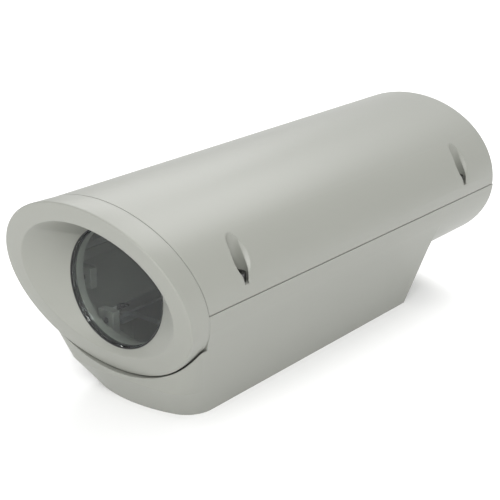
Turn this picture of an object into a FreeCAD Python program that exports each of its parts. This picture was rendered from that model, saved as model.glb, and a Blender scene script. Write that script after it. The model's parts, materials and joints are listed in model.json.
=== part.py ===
import FreeCAD, Part
import Sketcher
import math
import os
import re
from FreeCAD import Placement, Rotation, Vector

# Outdoor housing for a fixed security camera: an oval die-cast tube in two halves on a hollow
# foot, with a slanted hood ring round a flat window. Millimetres, +Z up, the window faces -Y.
# The origin is the middle of the bracket hole pattern in the flat underside of the foot.

os.makedirs("parts", exist_ok=True)
doc = FreeCAD.newDocument("camera_housing")

SIZES = {
    # oval tube
    "half_width": 65.0,
    "half_height": 50.5,
    "wall": 3.0,
    "end_wall": 3.0,
    "rear_y": 175.0,
    # joint between the two halves
    "split_drop": 3.0,
    "split_gap": 0.5,
    "rim_depth": 6.0,
    "cover_rim_depth": 4.0,
    "rim_width": 10.0,
    "gasket_inset": 5.0,
    "gasket_width": 3.0,
    "gasket_depth": 1.8,
    "gasket_proud": 0.2,
    "gasket_slack": 0.1,
    # foot under the tube
    "foot_half_width": 38.5,
    "foot_height": 25.0,
    "foot_rear_y": 110.0,
    "foot_nose_setback": 12.0,
    "foot_nose_slope": 0.6,
    "foot_mid_z": 20.0,
    "foot_high_slope": 0.28,
    "foot_floor": 4.0,
    "foot_rear_round": 4.0,
    "front_radius_low": 90.0,
    "corner_radius_low": 17.0,
    "front_radius_mid": 270.0,
    "corner_radius_mid": 14.5,
    "front_radius_high": 300.0,
    "corner_radius_high": 5.0,
    "sill_setback": 8.0,
    # hood ring in front of the tube
    "seam_y": 121.0,
    "seam_tilt": 14.8,
    "seam_gap": 0.3,
    "ring_depth": 15.0,
    "rim_tilt": 17.5,
    "ring_flare": 0.6,
    "ring_shadow_gap": 0.8,
    "mouth_half_width": 53.6,
    "mouth_half_height": 41.9,
    "hood_wall": 3.5,
    "window_boss_wall": 4.4,
    "pocket_tilt": 10.0,
    "spigot_gap": 0.8,
    "spigot_depth": 21.0,
    "hood_seal_setback": 6.0,
    "hood_seal_width": 3.0,
    "hood_seal_height": 2.0,
    "hood_seal_slack": 0.3,
    # window
    "window_sink": 15.25,
    "window_drop": 3.1,
    "window_bore": 33.0,
    "window_bore_depth": 9.95,
    "glass_radius": 33.5,
    "glass_thickness": 3.7,
    "glass_sunk": 0.2,
    "glass_chamfer": 0.4,
    "window_seal_wall": 0.65,
    "window_seal_base": 0.8,
    "fit_gap": 0.05,
    # screws that hold the hood ring
    "high_screw_inset": 12.3,
    "high_screw_angle": 23.1,
    "low_screw_inset": 5.6,
    "low_screw_angle": 59.75,
    "hood_boss_radius": 6.0,
    "lug_thickness": 5.0,
    "hood_screw_length": 12.0,
    # M4 and M3 machine screws
    "screw_radius": 2.0,
    "screw_head_radius": 3.8,
    "screw_head_height": 2.6,
    "screw_socket_radius": 1.7,
    "screw_socket_depth": 1.4,
    "small_screw_radius": 1.5,
    "small_head_radius": 2.8,
    "small_head_height": 2.0,
    # captive lock screws in the cover
    "lock_inset": 7.0,
    "lock_setback": 10.9,
    "lock_rear_y": 137.1,
    "lock_well_radius": 6.4,
    "lock_well_wall": 2.5,
    "lock_seat_rise": 5.3,
    "lock_drain_width": 5.6,
    "lock_drain_height": 11.0,
    "lock_boss_radius": 8.0,
    "lock_boss_depth": 18.0,
    "lock_head_radius": 4.25,
    "lock_head_height": 5.0,
    "lock_socket_radius": 2.3,
    "lock_socket_depth": 2.6,
    "lock_shank_radius": 2.0,
    "lock_thread_radius": 2.5,
    "lock_thread_length": 5.7,
    "lock_length": 22.0,
    "lock_hole_gap": 0.6,
    "lock_pass_gap": 0.25,
    "ring_thickness": 1.0,
    "ring_radius": 4.2,
    "ring_gap": 0.1,
    "ring_well_gap": 0.5,
    # hinge on the far side
    "hinge_out": 4.5,
    "hinge_front_y": 50.0,
    "hinge_rear_y": 120.0,
    "hinge_length": 32.0,
    "knuckle_radius": 4.0,
    "knuckle_length": 8.5,
    "knuckle_gap": 0.3,
    "hinge_pin_radius": 1.5,
    "hinge_running_gap": 0.06,
    "hinge_press_gap": 0.02,
    # camera tray on its rails
    "column_x": 39.0,
    "column_setback": 13.0,
    "column_rear_y": 88.0,
    "column_radius": 5.5,
    "column_top": 34.0,
    "column_hole_depth": 12.0,
    "rail_sheet": 1.5,
    "rail_foot": 15.7,
    "rail_lip": 3.8,
    "rail_setback": 12.0,
    "rail_rear_y": 103.0,
    "rail_screw_length": 10.0,
    "tray_half_width": 30.0,
    "tray_thickness": 3.0,
    "tray_gap": 0.3,
    "tray_setback": 21.0,
    "tray_rear_y": 95.0,
    "tray_slot_half": 5.0,
    "tray_slot_setback": 13.0,
    "tray_slot_rear_y": 46.0,
    "tray_side_slot_x": 19.0,
    "tray_side_slot_half": 2.25,
    "tray_side_slot_front_y": 50.0,
    "tray_side_slot_rear_y": 20.0,
    "tray_pull_height": 9.0,
    "tray_pull_half": 14.0,
    # camera fixing screw and its bush
    "camera_screw_y": 10.0,
    "camera_screw_radius": 3.175,
    "camera_screw_reach": 7.0,
    "camera_knob_radius": 9.0,
    "camera_knob_height": 7.0,
    "camera_knob_grips": 10.0,
    "camera_grip_radius": 1.4,
    "bush_flange_radius": 8.0,
    "bush_flange": 1.0,
    "bush_gap": 0.1,
    "bush_barrel_gap": 0.25,
    "bush_barrel_drop": 0.3,
    # threaded inserts for the bracket
    "bracket_spacing_x": 40.0,
    "bracket_spacing_y": 80.0,
    "insert_bore": 2.5,
    "insert_radius": 4.5,
    "insert_length": 10.0,
    "insert_sunk": 0.3,
    "insert_boss_radius": 7.5,
    "insert_boss_height": 12.5,
    # terminal board
    "board_half_width": 27.0,
    "board_front_y": 12.0,
    "board_length": 66.0,
    "board_thickness": 1.6,
    "board_hole_inset": 4.5,
    "standoff_height": 11.0,
    "standoff_radius": 3.2,
    "standoff_stud": 2.5,
    "block_length": 36.0,
    "block_width": 9.0,
    "block_height": 8.0,
    "block_row_gap": 20.0,
    "block_ways": 7.0,
    "block_screw_radius": 1.6,
    "block_screw_depth": 2.0,
    # heater
    "heater_y": 68.0,
    "heater_half_width": 25.0,
    "heater_half_depth": 14.0,
    "heater_base": 3.5,
    "heater_height": 12.0,
    "heater_body_half": 16.0,
    "heater_fin": 2.0,
    "heater_fin_count": 5.0,
    "heater_hole_x": 20.5,
    # cable glands
    "gland_x": 16.0,
    "gland_lift": 1.0,
    "gland_side_rise": 0.3,
    "gland_washer_land": 0.8,
    "gland_wall": 1.4,
    "gland_collar": 0.4,
    "gland_thread_length": 11.0,
    "gland_hex_land": 2.5,
    "gland_hex_height": 4.5,
    "gland_bore": 4.6,
    "gland_barrel_length": 7.0,
    "gland_nose_taper": 2.6,
    "gland_cap_length": 12.5,
    "gland_seal_bore": 4.0,
    "gland_seal_length": 9.0,
    "gland_washer": 1.2,
    "gland_nut_height": 4.5,
    # earth terminal
    "earth_y": 90.0,
    "earth_boss_radius": 4.5,
    "earth_boss_height": 4.0,
    "earth_washer_radius": 4.6,
    "earth_washer": 0.8,
    # how far a cutting tool runs past the face that it opens
    "overrun": 1.0,
}

RESULTS = {
    "axis_height": "foot_height + half_height",
    "split_z": "axis_height - split_drop",
    "cover_z": "split_z + split_gap",
    "window_z": "axis_height - window_drop",
    "foot_nose_y": "seam_y - foot_nose_setback",
    "rim_y": "seam_y + ring_depth",
    "spigot_end_y": "seam_y - spigot_depth",
    "sill_y": "spigot_end_y - sill_setback",
    "hood_seal_y": "spigot_end_y + hood_seal_setback",
    "window_y": "rim_y - window_sink",
    "window_bore_end_y": "window_y - window_bore_depth",
    "inner_half_width": "half_width - wall",
    "inner_half_height": "half_height - wall",
    "spigot_half_width": "inner_half_width - spigot_gap",
    "spigot_half_height": "inner_half_height - spigot_gap",
    "hood_screw_high_x": "(spigot_half_width - high_screw_inset) * cos(high_screw_angle)",
    "hood_screw_high_z": "axis_height - (spigot_half_height - high_screw_inset) * sin(high_screw_angle)",
    "hood_screw_low_x": "(spigot_half_width - low_screw_inset) * cos(low_screw_angle)",
    "hood_screw_low_z": "axis_height - (spigot_half_height - low_screw_inset) * sin(low_screw_angle)",
    "window_seat": "glass_radius + 2 * fit_gap + window_seal_wall",
    "side_share": "foot_half_width / half_width",
    "drop_share": "axis_height / half_height",
    "side_angle": "acos(1 / sqrt(side_share ^ 2 + drop_share ^ 2)) - atan(drop_share / side_share)",
    "foot_top_z": "axis_height + half_height * sin(side_angle)",
    "foot_top_half_width": "half_width * cos(side_angle)",
    "foot_mid_half_width": "foot_half_width + (foot_top_half_width - foot_half_width) * foot_mid_z / foot_top_z",
    "foot_mid_nose_y": "foot_nose_y + foot_nose_slope * foot_mid_z",
    "foot_top_nose_y": "foot_mid_nose_y + foot_high_slope * (foot_top_z - foot_mid_z)",
    "sill_z": "axis_height - half_height - ring_shadow_gap - wall",
    "hinge_x": "half_width + hinge_out",
    "hinge_z": "split_z + split_gap / 2",
    "lock_x": "half_width - lock_inset",
    "lock_front_y": "spigot_end_y - lock_setback",
    "lock_seat_z": "axis_height + lock_seat_rise",
    "lock_tip_z": "lock_seat_z - lock_length",
    "lock_thread_z": "lock_tip_z + lock_thread_length",
    "lock_hole_radius": "lock_thread_radius + lock_hole_gap",
    "ring_z": "lock_thread_z + ring_gap",
    "ring_well_z": "ring_z - 4 * ring_gap",
    "rail_front_y": "spigot_end_y - rail_setback",
    "column_front_y": "rail_front_y - column_setback",
    "tray_front_y": "spigot_end_y - tray_setback",
    "tray_slot_front_y": "tray_front_y - tray_slot_setback",
    "tray_z": "column_top + rail_sheet + tray_gap",
    "tray_top_z": "tray_z + tray_thickness",
    "rail_top_z": "tray_top_z + tray_gap",
    "bush_z": "tray_z - bush_gap - bush_flange",
    "knob_top_z": "bush_z - bush_gap",
    "board_z": "foot_floor + standoff_height",
    "gland_room": "foot_height - foot_floor - foot_rear_round",
    "gland_z": "foot_floor + gland_room / 2 + gland_lift",
    "gland_washer_radius": "gland_room / 2 + gland_side_rise",
    "gland_thread_radius": "gland_washer_radius - gland_washer_land",
    "gland_hex_radius": "gland_thread_radius + gland_hex_land",
    "gland_seat_radius": "gland_thread_radius - gland_wall",
    "gland_seal_radius": "gland_seat_radius - 2 * fit_gap",
    "gland_barrel_radius": "gland_thread_radius + gland_collar",
    "gland_cap_radius": "gland_barrel_radius + gland_wall",
    "gland_cap_nose": "gland_cap_radius - gland_nose_taper",
    "gland_face_y": "foot_rear_y + gland_washer",
}

# the sheet holds each driving size as a number and each result as a formula
sheet = doc.addObject("Spreadsheet::Sheet", "Sizes")
for row, (name, value) in enumerate({**SIZES, **RESULTS}.items(), start=1):
    sheet.set(f"A{row}", name)
    sheet.set(f"B{row}", f"={value}" if name in RESULTS else str(value))
    sheet.setAlias(f"B{row}", name)
doc.recompute()

NAMES = re.compile(r"\b(" + "|".join(sorted({**SIZES, **RESULTS}, key=len, reverse=True)) + r")\b")


def linked(formula):
    """The formula with every size pointing at its cell in the sheet."""
    return NAMES.sub(r"Sizes.\1", str(formula))


def bind(obj, **formulas):
    """Drive the object's own properties from the sheet."""
    for prop, formula in formulas.items():
        obj.setExpression(prop, linked(formula))
    return obj


def place(obj, x="0", y="0", z="0"):
    """Drive the object's position from the sheet."""
    for axis, formula in zip("xyz", (x, y, z)):
        obj.setExpression(f".Placement.Base.{axis}", linked(formula))
    return obj


def size(name):
    """The present value of a size or result."""
    return float(sheet.get(name))


def box(name, x, y, z):
    """A block between two formulas on each axis."""
    block = doc.addObject("Part::Box", name)
    bind(block, Length=f"({x[1]}) - ({x[0]})", Width=f"({y[1]}) - ({y[0]})", Height=f"({z[1]}) - ({z[0]})")
    return place(block, x[0], y[0], z[0])


TURNS = {"z": Rotation(), "y": Rotation(Vector(1, 0, 0), -90)}


def rod(name, radius, length, x="0", y="0", z="0", along="z"):
    """A cylinder that starts at the given point and runs along one axis."""
    cylinder = doc.addObject("Part::Cylinder", name)
    cylinder.Placement = Placement(Vector(), TURNS[along])
    bind(cylinder, Radius=radius, Height=length)
    return place(cylinder, x, y, z)


def hexagon(name, radius, length, x="0", y="0", z="0", along="z"):
    """A six-sided prism, radius to its corners, along one axis."""
    prism = doc.addObject("Part::Prism", name)
    prism.Polygon = 6
    prism.Placement = Placement(Vector(), TURNS[along])
    bind(prism, Circumradius=radius, Height=length)
    return place(prism, x, y, z)


def oval(name, half_x, half_z, y, tilt="0", z="axis_height"):
    """An upright ellipse across the tube, its top leaned forward by the tilt."""
    ellipse = doc.addObject("Part::Ellipse", name)
    ellipse.Placement = Placement(Vector(), Rotation(Vector(1, 0, 0), 90))
    bind(ellipse, MajorRadius=half_x, MinorRadius=half_z)
    ellipse.setExpression(".Placement.Rotation.Angle", linked(f"90 + {tilt}"))
    return place(ellipse, y=y, z=z)


def oval_bar(name, half_x, half_z, front, rear):
    """A solid elliptical bar along the tube, between two places on its axis."""
    bar = doc.addObject("Part::Extrusion", name)
    bar.Base = oval(f"{name}_oval", half_x, half_z, front)
    bar.DirMode = "Custom"
    bar.Dir = Vector(0, 1, 0)
    bar.Solid = True
    return bind(bar, LengthFwd=f"({rear}) - ({front})")


def loft(name, *sections):
    """A solid with straight sides through the given closed outlines."""
    body = doc.addObject("Part::Loft", name)
    body.Sections = list(sections)
    body.Solid = True
    body.Ruled = True
    return body


def behind(name, y, tilt):
    """All the space behind a plane across the tube whose top leans forward."""
    space = doc.addObject("Part::Box", name)
    space.Placement = Placement(Vector(), Rotation(Vector(1, 0, 0), 1))
    bind(space, Length="4 * half_width", Width="4 * rear_y", Height="6 * half_height")
    space.setExpression(".Placement.Rotation.Angle", linked(tilt))
    return place(space, "-2 * half_width", f"{y} + 3 * half_height * sin({tilt})",
                 f"axis_height - 3 * half_height * cos({tilt})")


def fuse(name, *pieces):
    """One solid from pieces that meet."""
    joined = doc.addObject("Part::MultiFuse", name)
    joined.Shapes = list(pieces)
    joined.Refine = True
    return joined


def common(name, *pieces):
    """What all the pieces share."""
    shared = doc.addObject("Part::MultiCommon", name)
    shared.Shapes = list(pieces)
    shared.Refine = True
    return shared


def cut(name, base, *tools):
    """The base with every tool taken away."""
    rest = doc.addObject("Part::Cut", name)
    rest.Base = base
    rest.Tool = tools[0] if len(tools) == 1 else fuse(f"{name}_tools", *tools)
    rest.Refine = True
    return rest


def group(name, pieces):
    """Like pieces kept as separate solids of one node."""
    compound = doc.addObject("Part::Compound", name)
    compound.Links = list(pieces)
    return compound


def origin_plane(body, role):
    """One of the body's own origin planes."""
    return next(plane for plane in body.Origin.OriginFeatures if plane.Role == role)


def outline(body, name, points, role="XZ_Plane", lift="0"):
    """A closed straight-sided sketch whose corners are driven from the sheet."""
    sketch = body.newObject("Sketcher::SketchObject", name)
    sketch.AttachmentSupport = [(origin_plane(body, role), "")]
    sketch.MapMode = "FlatFace"
    sketch.setExpression(".AttachmentOffset.Base.z", linked(lift))
    count = len(points)
    rough = [Vector(10 * math.cos(2 * math.pi * k / count), 10 * math.sin(2 * math.pi * k / count), 0)
             for k in range(count)]
    for k in range(count):
        sketch.addGeometry(Part.LineSegment(rough[k], rough[(k + 1) % count]))
    for k in range(count):
        sketch.addConstraint(Sketcher.Constraint("Coincident", k, 2, (k + 1) % count, 1))
    for k, (across, up) in enumerate(points):
        for kind, start, formula in (("DistanceX", rough[k].x, across), ("DistanceY", rough[k].y, up)):
            index = sketch.addConstraint(Sketcher.Constraint(kind, k, 1, start))
            sketch.setExpression(f"Constraints[{index}]", linked(formula))
    return sketch


def turned(name, points, x="0", y="0", z="0", along="z"):
    """A lathe-turned body from its half profile of radius and height."""
    body = doc.addObject("PartDesign::Body", name)
    profile = outline(body, f"{name}_profile", points)
    turn = body.newObject("PartDesign::Revolution", f"{name}_turn")
    turn.Profile = profile
    turn.ReferenceAxis = (profile, ["V_Axis"])
    turn.Angle = 360
    body.Placement = Placement(Vector(), TURNS[along])
    return place(body, x, y, z)


def padded(name, points, length, role="XY_Plane", lift="0"):
    """A plate or bar raised from a straight-sided outline."""
    body = doc.addObject("PartDesign::Body", name)
    pad = body.newObject("PartDesign::Pad", f"{name}_pad")
    pad.Profile = outline(body, f"{name}_outline", points, role, lift)
    bind(pad, Length=length)
    return body


def pocketed(body, name, points, depth, role="XY_Plane", lift="0"):
    """A straight-sided recess sunk into a body from the given level."""
    pocket = body.newObject("PartDesign::Pocket", name)
    pocket.Profile = outline(body, f"{name}_outline", points, role, lift)
    bind(pocket, Length=depth)
    body.Tip = pocket
    return body


def rectangle(x0, x1, y0, y1):
    """The four corners of an upright rectangle."""
    return [(x0, y0), (x1, y0), (x1, y1), (x0, y1)]


def six_corners(radius):
    """The corners of a hexagon."""
    return [(f"{radius} * cos({60 * k})", f"{radius} * sin({60 * k})") for k in range(6)]


def socket_screw(name, radius, head_radius, head_height, length, x, y, z, along="z"):
    """A cap screw seated at the given point, its hexagon socket in the head."""
    points = [("0", "0"), ("0", f"-({length})"), (radius, f"-({length})"), (radius, "0"),
              (head_radius, "0"), (head_radius, head_height), ("0", head_height)]
    screw = turned(name, points, x, y, z, along)
    return pocketed(screw, f"{name}_socket", six_corners("screw_socket_radius"), "screw_socket_depth",
                    lift=head_height)


def foot_outline(name, half_width, nose_y, front_radius, corner_radius, rear_y, level):
    """The foot's outline at one level: straight sides, a bowed nose and rounded front corners."""
    sketch = doc.addObject("Sketcher::SketchObject", name)
    place(sketch, z=level)
    doc.recompute()
    trial = {}
    cells = {"w": half_width, "n": nose_y, "R": front_radius, "r": corner_radius, "b": rear_y}
    for row, (key, formula) in enumerate(cells.items(), start=1):
        sheet.set(f"D{row}", f"={formula}")
        sheet.recompute()
        trial[key] = float(sheet.get(f"D{row}"))
    w, n, big, r, b = (trial[key] for key in "wnRrb")
    bow_y = big - n
    corner_y = bow_y - math.sqrt((big - r) ** 2 - (w - r) ** 2)
    lean = math.atan2(bow_y - corner_y, w - r)
    up = Vector(0, 0, 1)
    right = Part.Circle(Vector(w - r, corner_y, 0), up, r)
    left = Part.Circle(Vector(r - w, corner_y, 0), up, r)
    bow = Part.Circle(Vector(0, bow_y, 0), up, big)
    sketch.addGeometry(Part.LineSegment(Vector(w, b, 0), Vector(-w, b, 0)))
    sketch.addGeometry(Part.LineSegment(Vector(-w, b, 0), Vector(-w, corner_y, 0)))
    sketch.addGeometry(Part.ArcOfCircle(left, math.pi, math.pi + lean))
    sketch.addGeometry(Part.ArcOfCircle(bow, math.pi + lean, 2 * math.pi - lean))
    sketch.addGeometry(Part.ArcOfCircle(right, -lean, 0))
    sketch.addGeometry(Part.LineSegment(Vector(w, corner_y, 0), Vector(w, b, 0)))
    for first, second in ((0, 1), (5, 0)):
        sketch.addConstraint(Sketcher.Constraint("Coincident", first, 2, second, 1))
    for first, second in ((1, 2), (2, 3), (3, 4), (4, 5)):
        sketch.addConstraint(Sketcher.Constraint("Tangent", first, 2, second, 1))
    sketch.addConstraint(Sketcher.Constraint("Vertical", 1))
    sketch.addConstraint(Sketcher.Constraint("Vertical", 5))
    sketch.addConstraint(Sketcher.Constraint("Horizontal", 0))
    for kind, geometry, point, value, formula in (
            ("DistanceX", 0, 1, w, half_width), ("DistanceX", 0, 2, -w, f"-({half_width})"),
            ("DistanceY", 0, 1, b, rear_y), ("Radius", 2, None, r, corner_radius),
            ("Radius", 4, None, r, corner_radius), ("Radius", 3, None, big, front_radius),
            ("DistanceY", 3, 3, bow_y, f"({front_radius}) - ({nose_y})")):
        where = (geometry, value) if point is None else (geometry, point, value)
        index = sketch.addConstraint(Sketcher.Constraint(kind, *where))
        sketch.setExpression(f"Constraints[{index}]", linked(formula))
    return sketch


def foot_solid(name, inset, rear_y="foot_rear_y"):
    """The foot, its sides leaning out to meet the tube and its nose leaning forward under the ring."""
    sections = [foot_outline(f"{name}_{level}", f"{half_width} - {inset}", f"{nose_y} - {inset}",
                             f"front_radius_{level} - {inset}", f"corner_radius_{level} - {inset}",
                             f"{rear_y} - {inset}", height)
                for level, half_width, nose_y, height in (
                    ("low", "foot_half_width", "foot_nose_y", "0"),
                    ("mid", "foot_mid_half_width", "foot_mid_nose_y", "foot_mid_z"),
                    ("high", "foot_top_half_width", "foot_top_nose_y", "foot_top_z"))]
    return loft(name, *sections)


def lock_places():
    """Name and place along the tube of each lock screw."""
    return (("front", "-lock_front_y"), ("rear", "lock_rear_y"))


def hinge_places():
    """Name and middle of each hinge along the tube."""
    return (("front", "-hinge_front_y"), ("rear", "hinge_rear_y"))


def hood_screw_places():
    """Name, side and height of each screw that holds the hood ring."""
    return (("high_right", "hood_screw_high_x", "hood_screw_high_z"),
            ("high_left", "-hood_screw_high_x", "hood_screw_high_z"),
            ("low_right", "hood_screw_low_x", "hood_screw_low_z"),
            ("low_left", "-hood_screw_low_x", "hood_screw_low_z"))


def corners(across, front, rear):
    """Four places, left and right of the middle at a front and a rear station."""
    return [(f"{side}_{end}", f"{sign}({across})", y)
            for end, y in (("front", front), ("rear", rear))
            for side, sign in (("left", "-"), ("right", ""))]


def rim_frame(name, inset, width, front, low, high, arc_inner):
    """A level U-shaped band along both sides and the rear, swept inwards round the lock screws."""
    inset, width = f"({inset})", f"({width})"
    outer = box(f"{name}_outer", (f"-(half_width - {inset})", f"half_width - {inset}"),
                (front, f"rear_y - {inset}"), (low, high))
    inner = box(f"{name}_inner", (f"-(half_width - {inset} - {width})", f"half_width - {inset} - {width}"),
                (f"({front}) - wall", f"rear_y - {inset} - {width}"), (f"({low}) - wall", f"({high}) + wall"))
    near = [rod(f"{name}_{place_name}_near", arc_inner, f"({high}) - ({low}) + 2 * wall", "lock_x", y,
                f"({low}) - wall") for place_name, y in lock_places()]
    far = [rod(f"{name}_{place_name}_far", f"{arc_inner} + {width}", f"({high}) - ({low})", "lock_x", y, low)
           for place_name, y in lock_places()]
    inside = box(f"{name}_inside", ("0", f"half_width - {inset}"), (front, f"rear_y - {inset}"), (low, high))
    swell = common(f"{name}_swell", fuse(f"{name}_far_pair", *far), inside)
    return cut(name, fuse(f"{name}_whole", cut(f"{name}_band", outer, inner), swell), *near)


def hinge_ears(name, side, length, height, shifts):
    """Knuckles round the hinge pin with the webs that join them to one half of the tube."""
    ears = []
    for place_name, middle in hinge_places():
        for k, shift in enumerate(shifts):
            start = f"{middle} + {shift}"
            ears.append(rod(f"{name}_{place_name}_knuckle_{k}", "knuckle_radius", length, "-hinge_x", start,
                            "hinge_z", "y"))
            ears.append(box(f"{name}_{place_name}_web_{k}", ("-hinge_x", "-(half_width - 2 * wall / 3)"),
                            (start, f"{start} + {length}"), height))
    bores = [rod(f"{name}_{place_name}_bore", f"hinge_pin_radius + {side}", "hinge_length + 2 * wall",
                 "-hinge_x", f"{middle} - hinge_length / 2 - wall", "hinge_z", "y")
             for place_name, middle in hinge_places()]
    return ears, bores


def foot_root():
    """The rolled corner between the foot's rear wall and the tube above it."""
    arc = [0, 30, 60, 90]
    sections = [oval(f"root_oval_{angle}", f"half_width + foot_rear_round * (1 - sin({angle}))",
                     f"half_height + foot_rear_round * (1 - sin({angle}))",
                     f"foot_rear_y + foot_rear_round * (1 - cos({angle}))") for angle in arc]
    flare = loft("root_flare", *sections)
    return common("foot_root", flare, foot_solid("foot_behind", "0", "foot_rear_y + foot_rear_round"))


def lower_body():
    """Cast lower half: trough, hollow foot, rim, screw bosses, lugs, columns and hinge ears."""
    far_front = "-(seam_y + half_height)"
    tube = oval_bar("lower_tube", "half_width", "half_height", far_front, "rear_y")
    below = box("below_split", ("-half_width", "half_width"), (far_front, "rear_y"), ("0", "split_z"))
    trough = common("trough", tube, below, behind("behind_seam", "-seam_y", "seam_tilt"))
    ring_room = oval_bar("ring_room", "half_width + ring_flare + ring_shadow_gap",
                         "half_height + ring_flare + ring_shadow_gap", far_front, "-seam_y + half_height")
    ahead = cut("ahead_of_seam", ring_room, behind("ring_room_rear", "-seam_y", "seam_tilt"))
    foot = cut("foot_shell", foot_solid("foot", "0"), ahead)
    skin = fuse("lower_skin", trough, foot, foot_root())
    bore = oval_bar("lower_bore", "inner_half_width", "inner_half_height", far_front, "rear_y - end_wall")
    sill = box("sill", ("-half_width", "half_width"), (far_front, "-sill_y"), ("sill_z", "axis_height"))
    floor = box("foot_floor_slab", ("-half_width", "half_width"), (far_front, "rear_y"), ("-wall", "foot_floor"))
    foot_room = cut("foot_room", foot_solid("foot_inner", "wall"), sill, floor)
    rim = rim_frame("lower_rim", "0", "rim_width", "-spigot_end_y", "split_z - rim_depth", "split_z",
                    "ring_radius")
    bosses = [rod(f"lock_boss_{name}", "lock_boss_radius", "lock_boss_depth", "lock_x", y,
                  "split_z - lock_boss_depth") for name, y in lock_places()]
    high_lugs = [box(f"lug_high_{side}", span, ("-spigot_end_y", "lug_thickness - spigot_end_y"),
                     ("hood_screw_high_z - hood_boss_radius", "hood_screw_high_z + hood_boss_radius"))
                 for side, span in (("right", ("hood_screw_high_x - hood_boss_radius", "half_width")),
                                    ("left", ("-half_width", "hood_boss_radius - hood_screw_high_x")))]
    low_lugs = [box(f"lug_low_{side}", (f"{x} - hood_boss_radius", f"{x} + hood_boss_radius"),
                    ("-spigot_end_y", "lug_thickness - spigot_end_y"),
                    ("axis_height - half_height", "hood_screw_low_z + hood_boss_radius"))
                for side, x in (("right", "hood_screw_low_x"), ("left", "-hood_screw_low_x"))]
    columns = [rod(f"column_{name}", "column_radius", "column_top - foot_floor / 2", x, y, "foot_floor / 2")
               for name, x, y in corners("column_x", "-column_front_y", "column_rear_y")]
    insert_bosses = [rod(f"insert_boss_{name}", "insert_boss_radius", "insert_boss_height", x, y)
                     for name, x, y in corners("bracket_spacing_x / 2", "-bracket_spacing_y / 2",
                                               "bracket_spacing_y / 2")]
    earth = rod("earth_boss", "earth_boss_radius", "earth_boss_height + foot_floor / 2", "0", "earth_y",
                "foot_floor / 2")
    hollow = cut("lower_hollow", fuse("lower_room", bore, foot_room), rim, *bosses, *high_lugs, *low_lugs,
                 *columns, *insert_bosses, earth)
    ears, hinge_bores = hinge_ears("lower_ear", "hinge_press_gap", "knuckle_length",
                                   ("hinge_z - knuckle_radius", "split_z"),
                                   ("(-hinge_length / 2)", "(hinge_length / 2 - knuckle_length)"))
    groove = rim_frame("gasket_groove", "gasket_inset", "gasket_width", "-spigot_end_y - wall",
                       "split_z - gasket_depth", "split_z + wall", "ring_radius + wall")
    ring_wells = [rod(f"ring_well_{name}", "ring_radius + ring_well_gap", "split_z - ring_well_z + wall",
                      "lock_x", y, "ring_well_z") for name, y in lock_places()]
    lock_holes = [rod(f"lock_hole_{name}", "lock_hole_radius", "ring_well_z - lock_tip_z + overrun + ring_gap",
                      "lock_x", y, "lock_tip_z - ring_gap") for name, y in lock_places()]
    lug_holes = [rod(f"lug_hole_{name}", "screw_radius + fit_gap", "lug_thickness + 2 * overrun", x,
                     "-spigot_end_y - overrun", z, "y") for name, x, z in hood_screw_places()]
    column_holes = [rod(f"column_hole_{name}", "screw_radius + fit_gap", "column_hole_depth + overrun", x, y,
                        "column_top - column_hole_depth")
                    for name, x, y in corners("column_x", "-column_front_y", "column_rear_y")]
    insert_holes = [rod(f"insert_hole_{name}", "insert_radius + hinge_press_gap",
                        "insert_length + 2 * insert_sunk", x, y)
                    for name, x, y in corners("bracket_spacing_x / 2", "-bracket_spacing_y / 2",
                                              "bracket_spacing_y / 2")]
    stud_holes = [rod(f"stud_hole_{name}", "small_screw_radius + fit_gap", "standoff_stud + overrun", x, y,
                      "foot_floor - standoff_stud - fit_gap") for name, x, y in board_holes()]
    heater_holes = [rod(f"heater_hole_{name}", "screw_radius + fit_gap", "foot_floor", x, "-heater_y",
                        "foot_floor / 4") for name, x in (("right", "heater_hole_x"), ("left", "-heater_hole_x"))]
    earth_hole = rod("earth_hole", "screw_radius + fit_gap", "earth_boss_height + foot_floor", "0", "earth_y",
                     "foot_floor / 4")
    gland_holes = [rod(f"gland_hole_{name}", "gland_thread_radius + 4 * fit_gap", "3 * wall", x,
                       "foot_rear_y - 2 * wall", "gland_z", "y") for name, x in gland_places()]
    body = fuse("lower_solid", cut("lower_shell", skin, hollow), *ears)
    return cut("lower_body", body, groove, *hinge_bores, *ring_wells, *lock_holes, *lug_holes, *column_holes,
               *insert_holes, *stud_holes, *heater_holes, earth_hole, *gland_holes)


def board_holes():
    """The terminal board's four fixing points."""
    return corners("board_half_width - board_hole_inset", "board_front_y + board_hole_inset",
                   "board_front_y + board_length - board_hole_inset")


def gland_places():
    """Name and side of each cable gland."""
    return (("right", "gland_x"), ("left", "-gland_x"))


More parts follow.
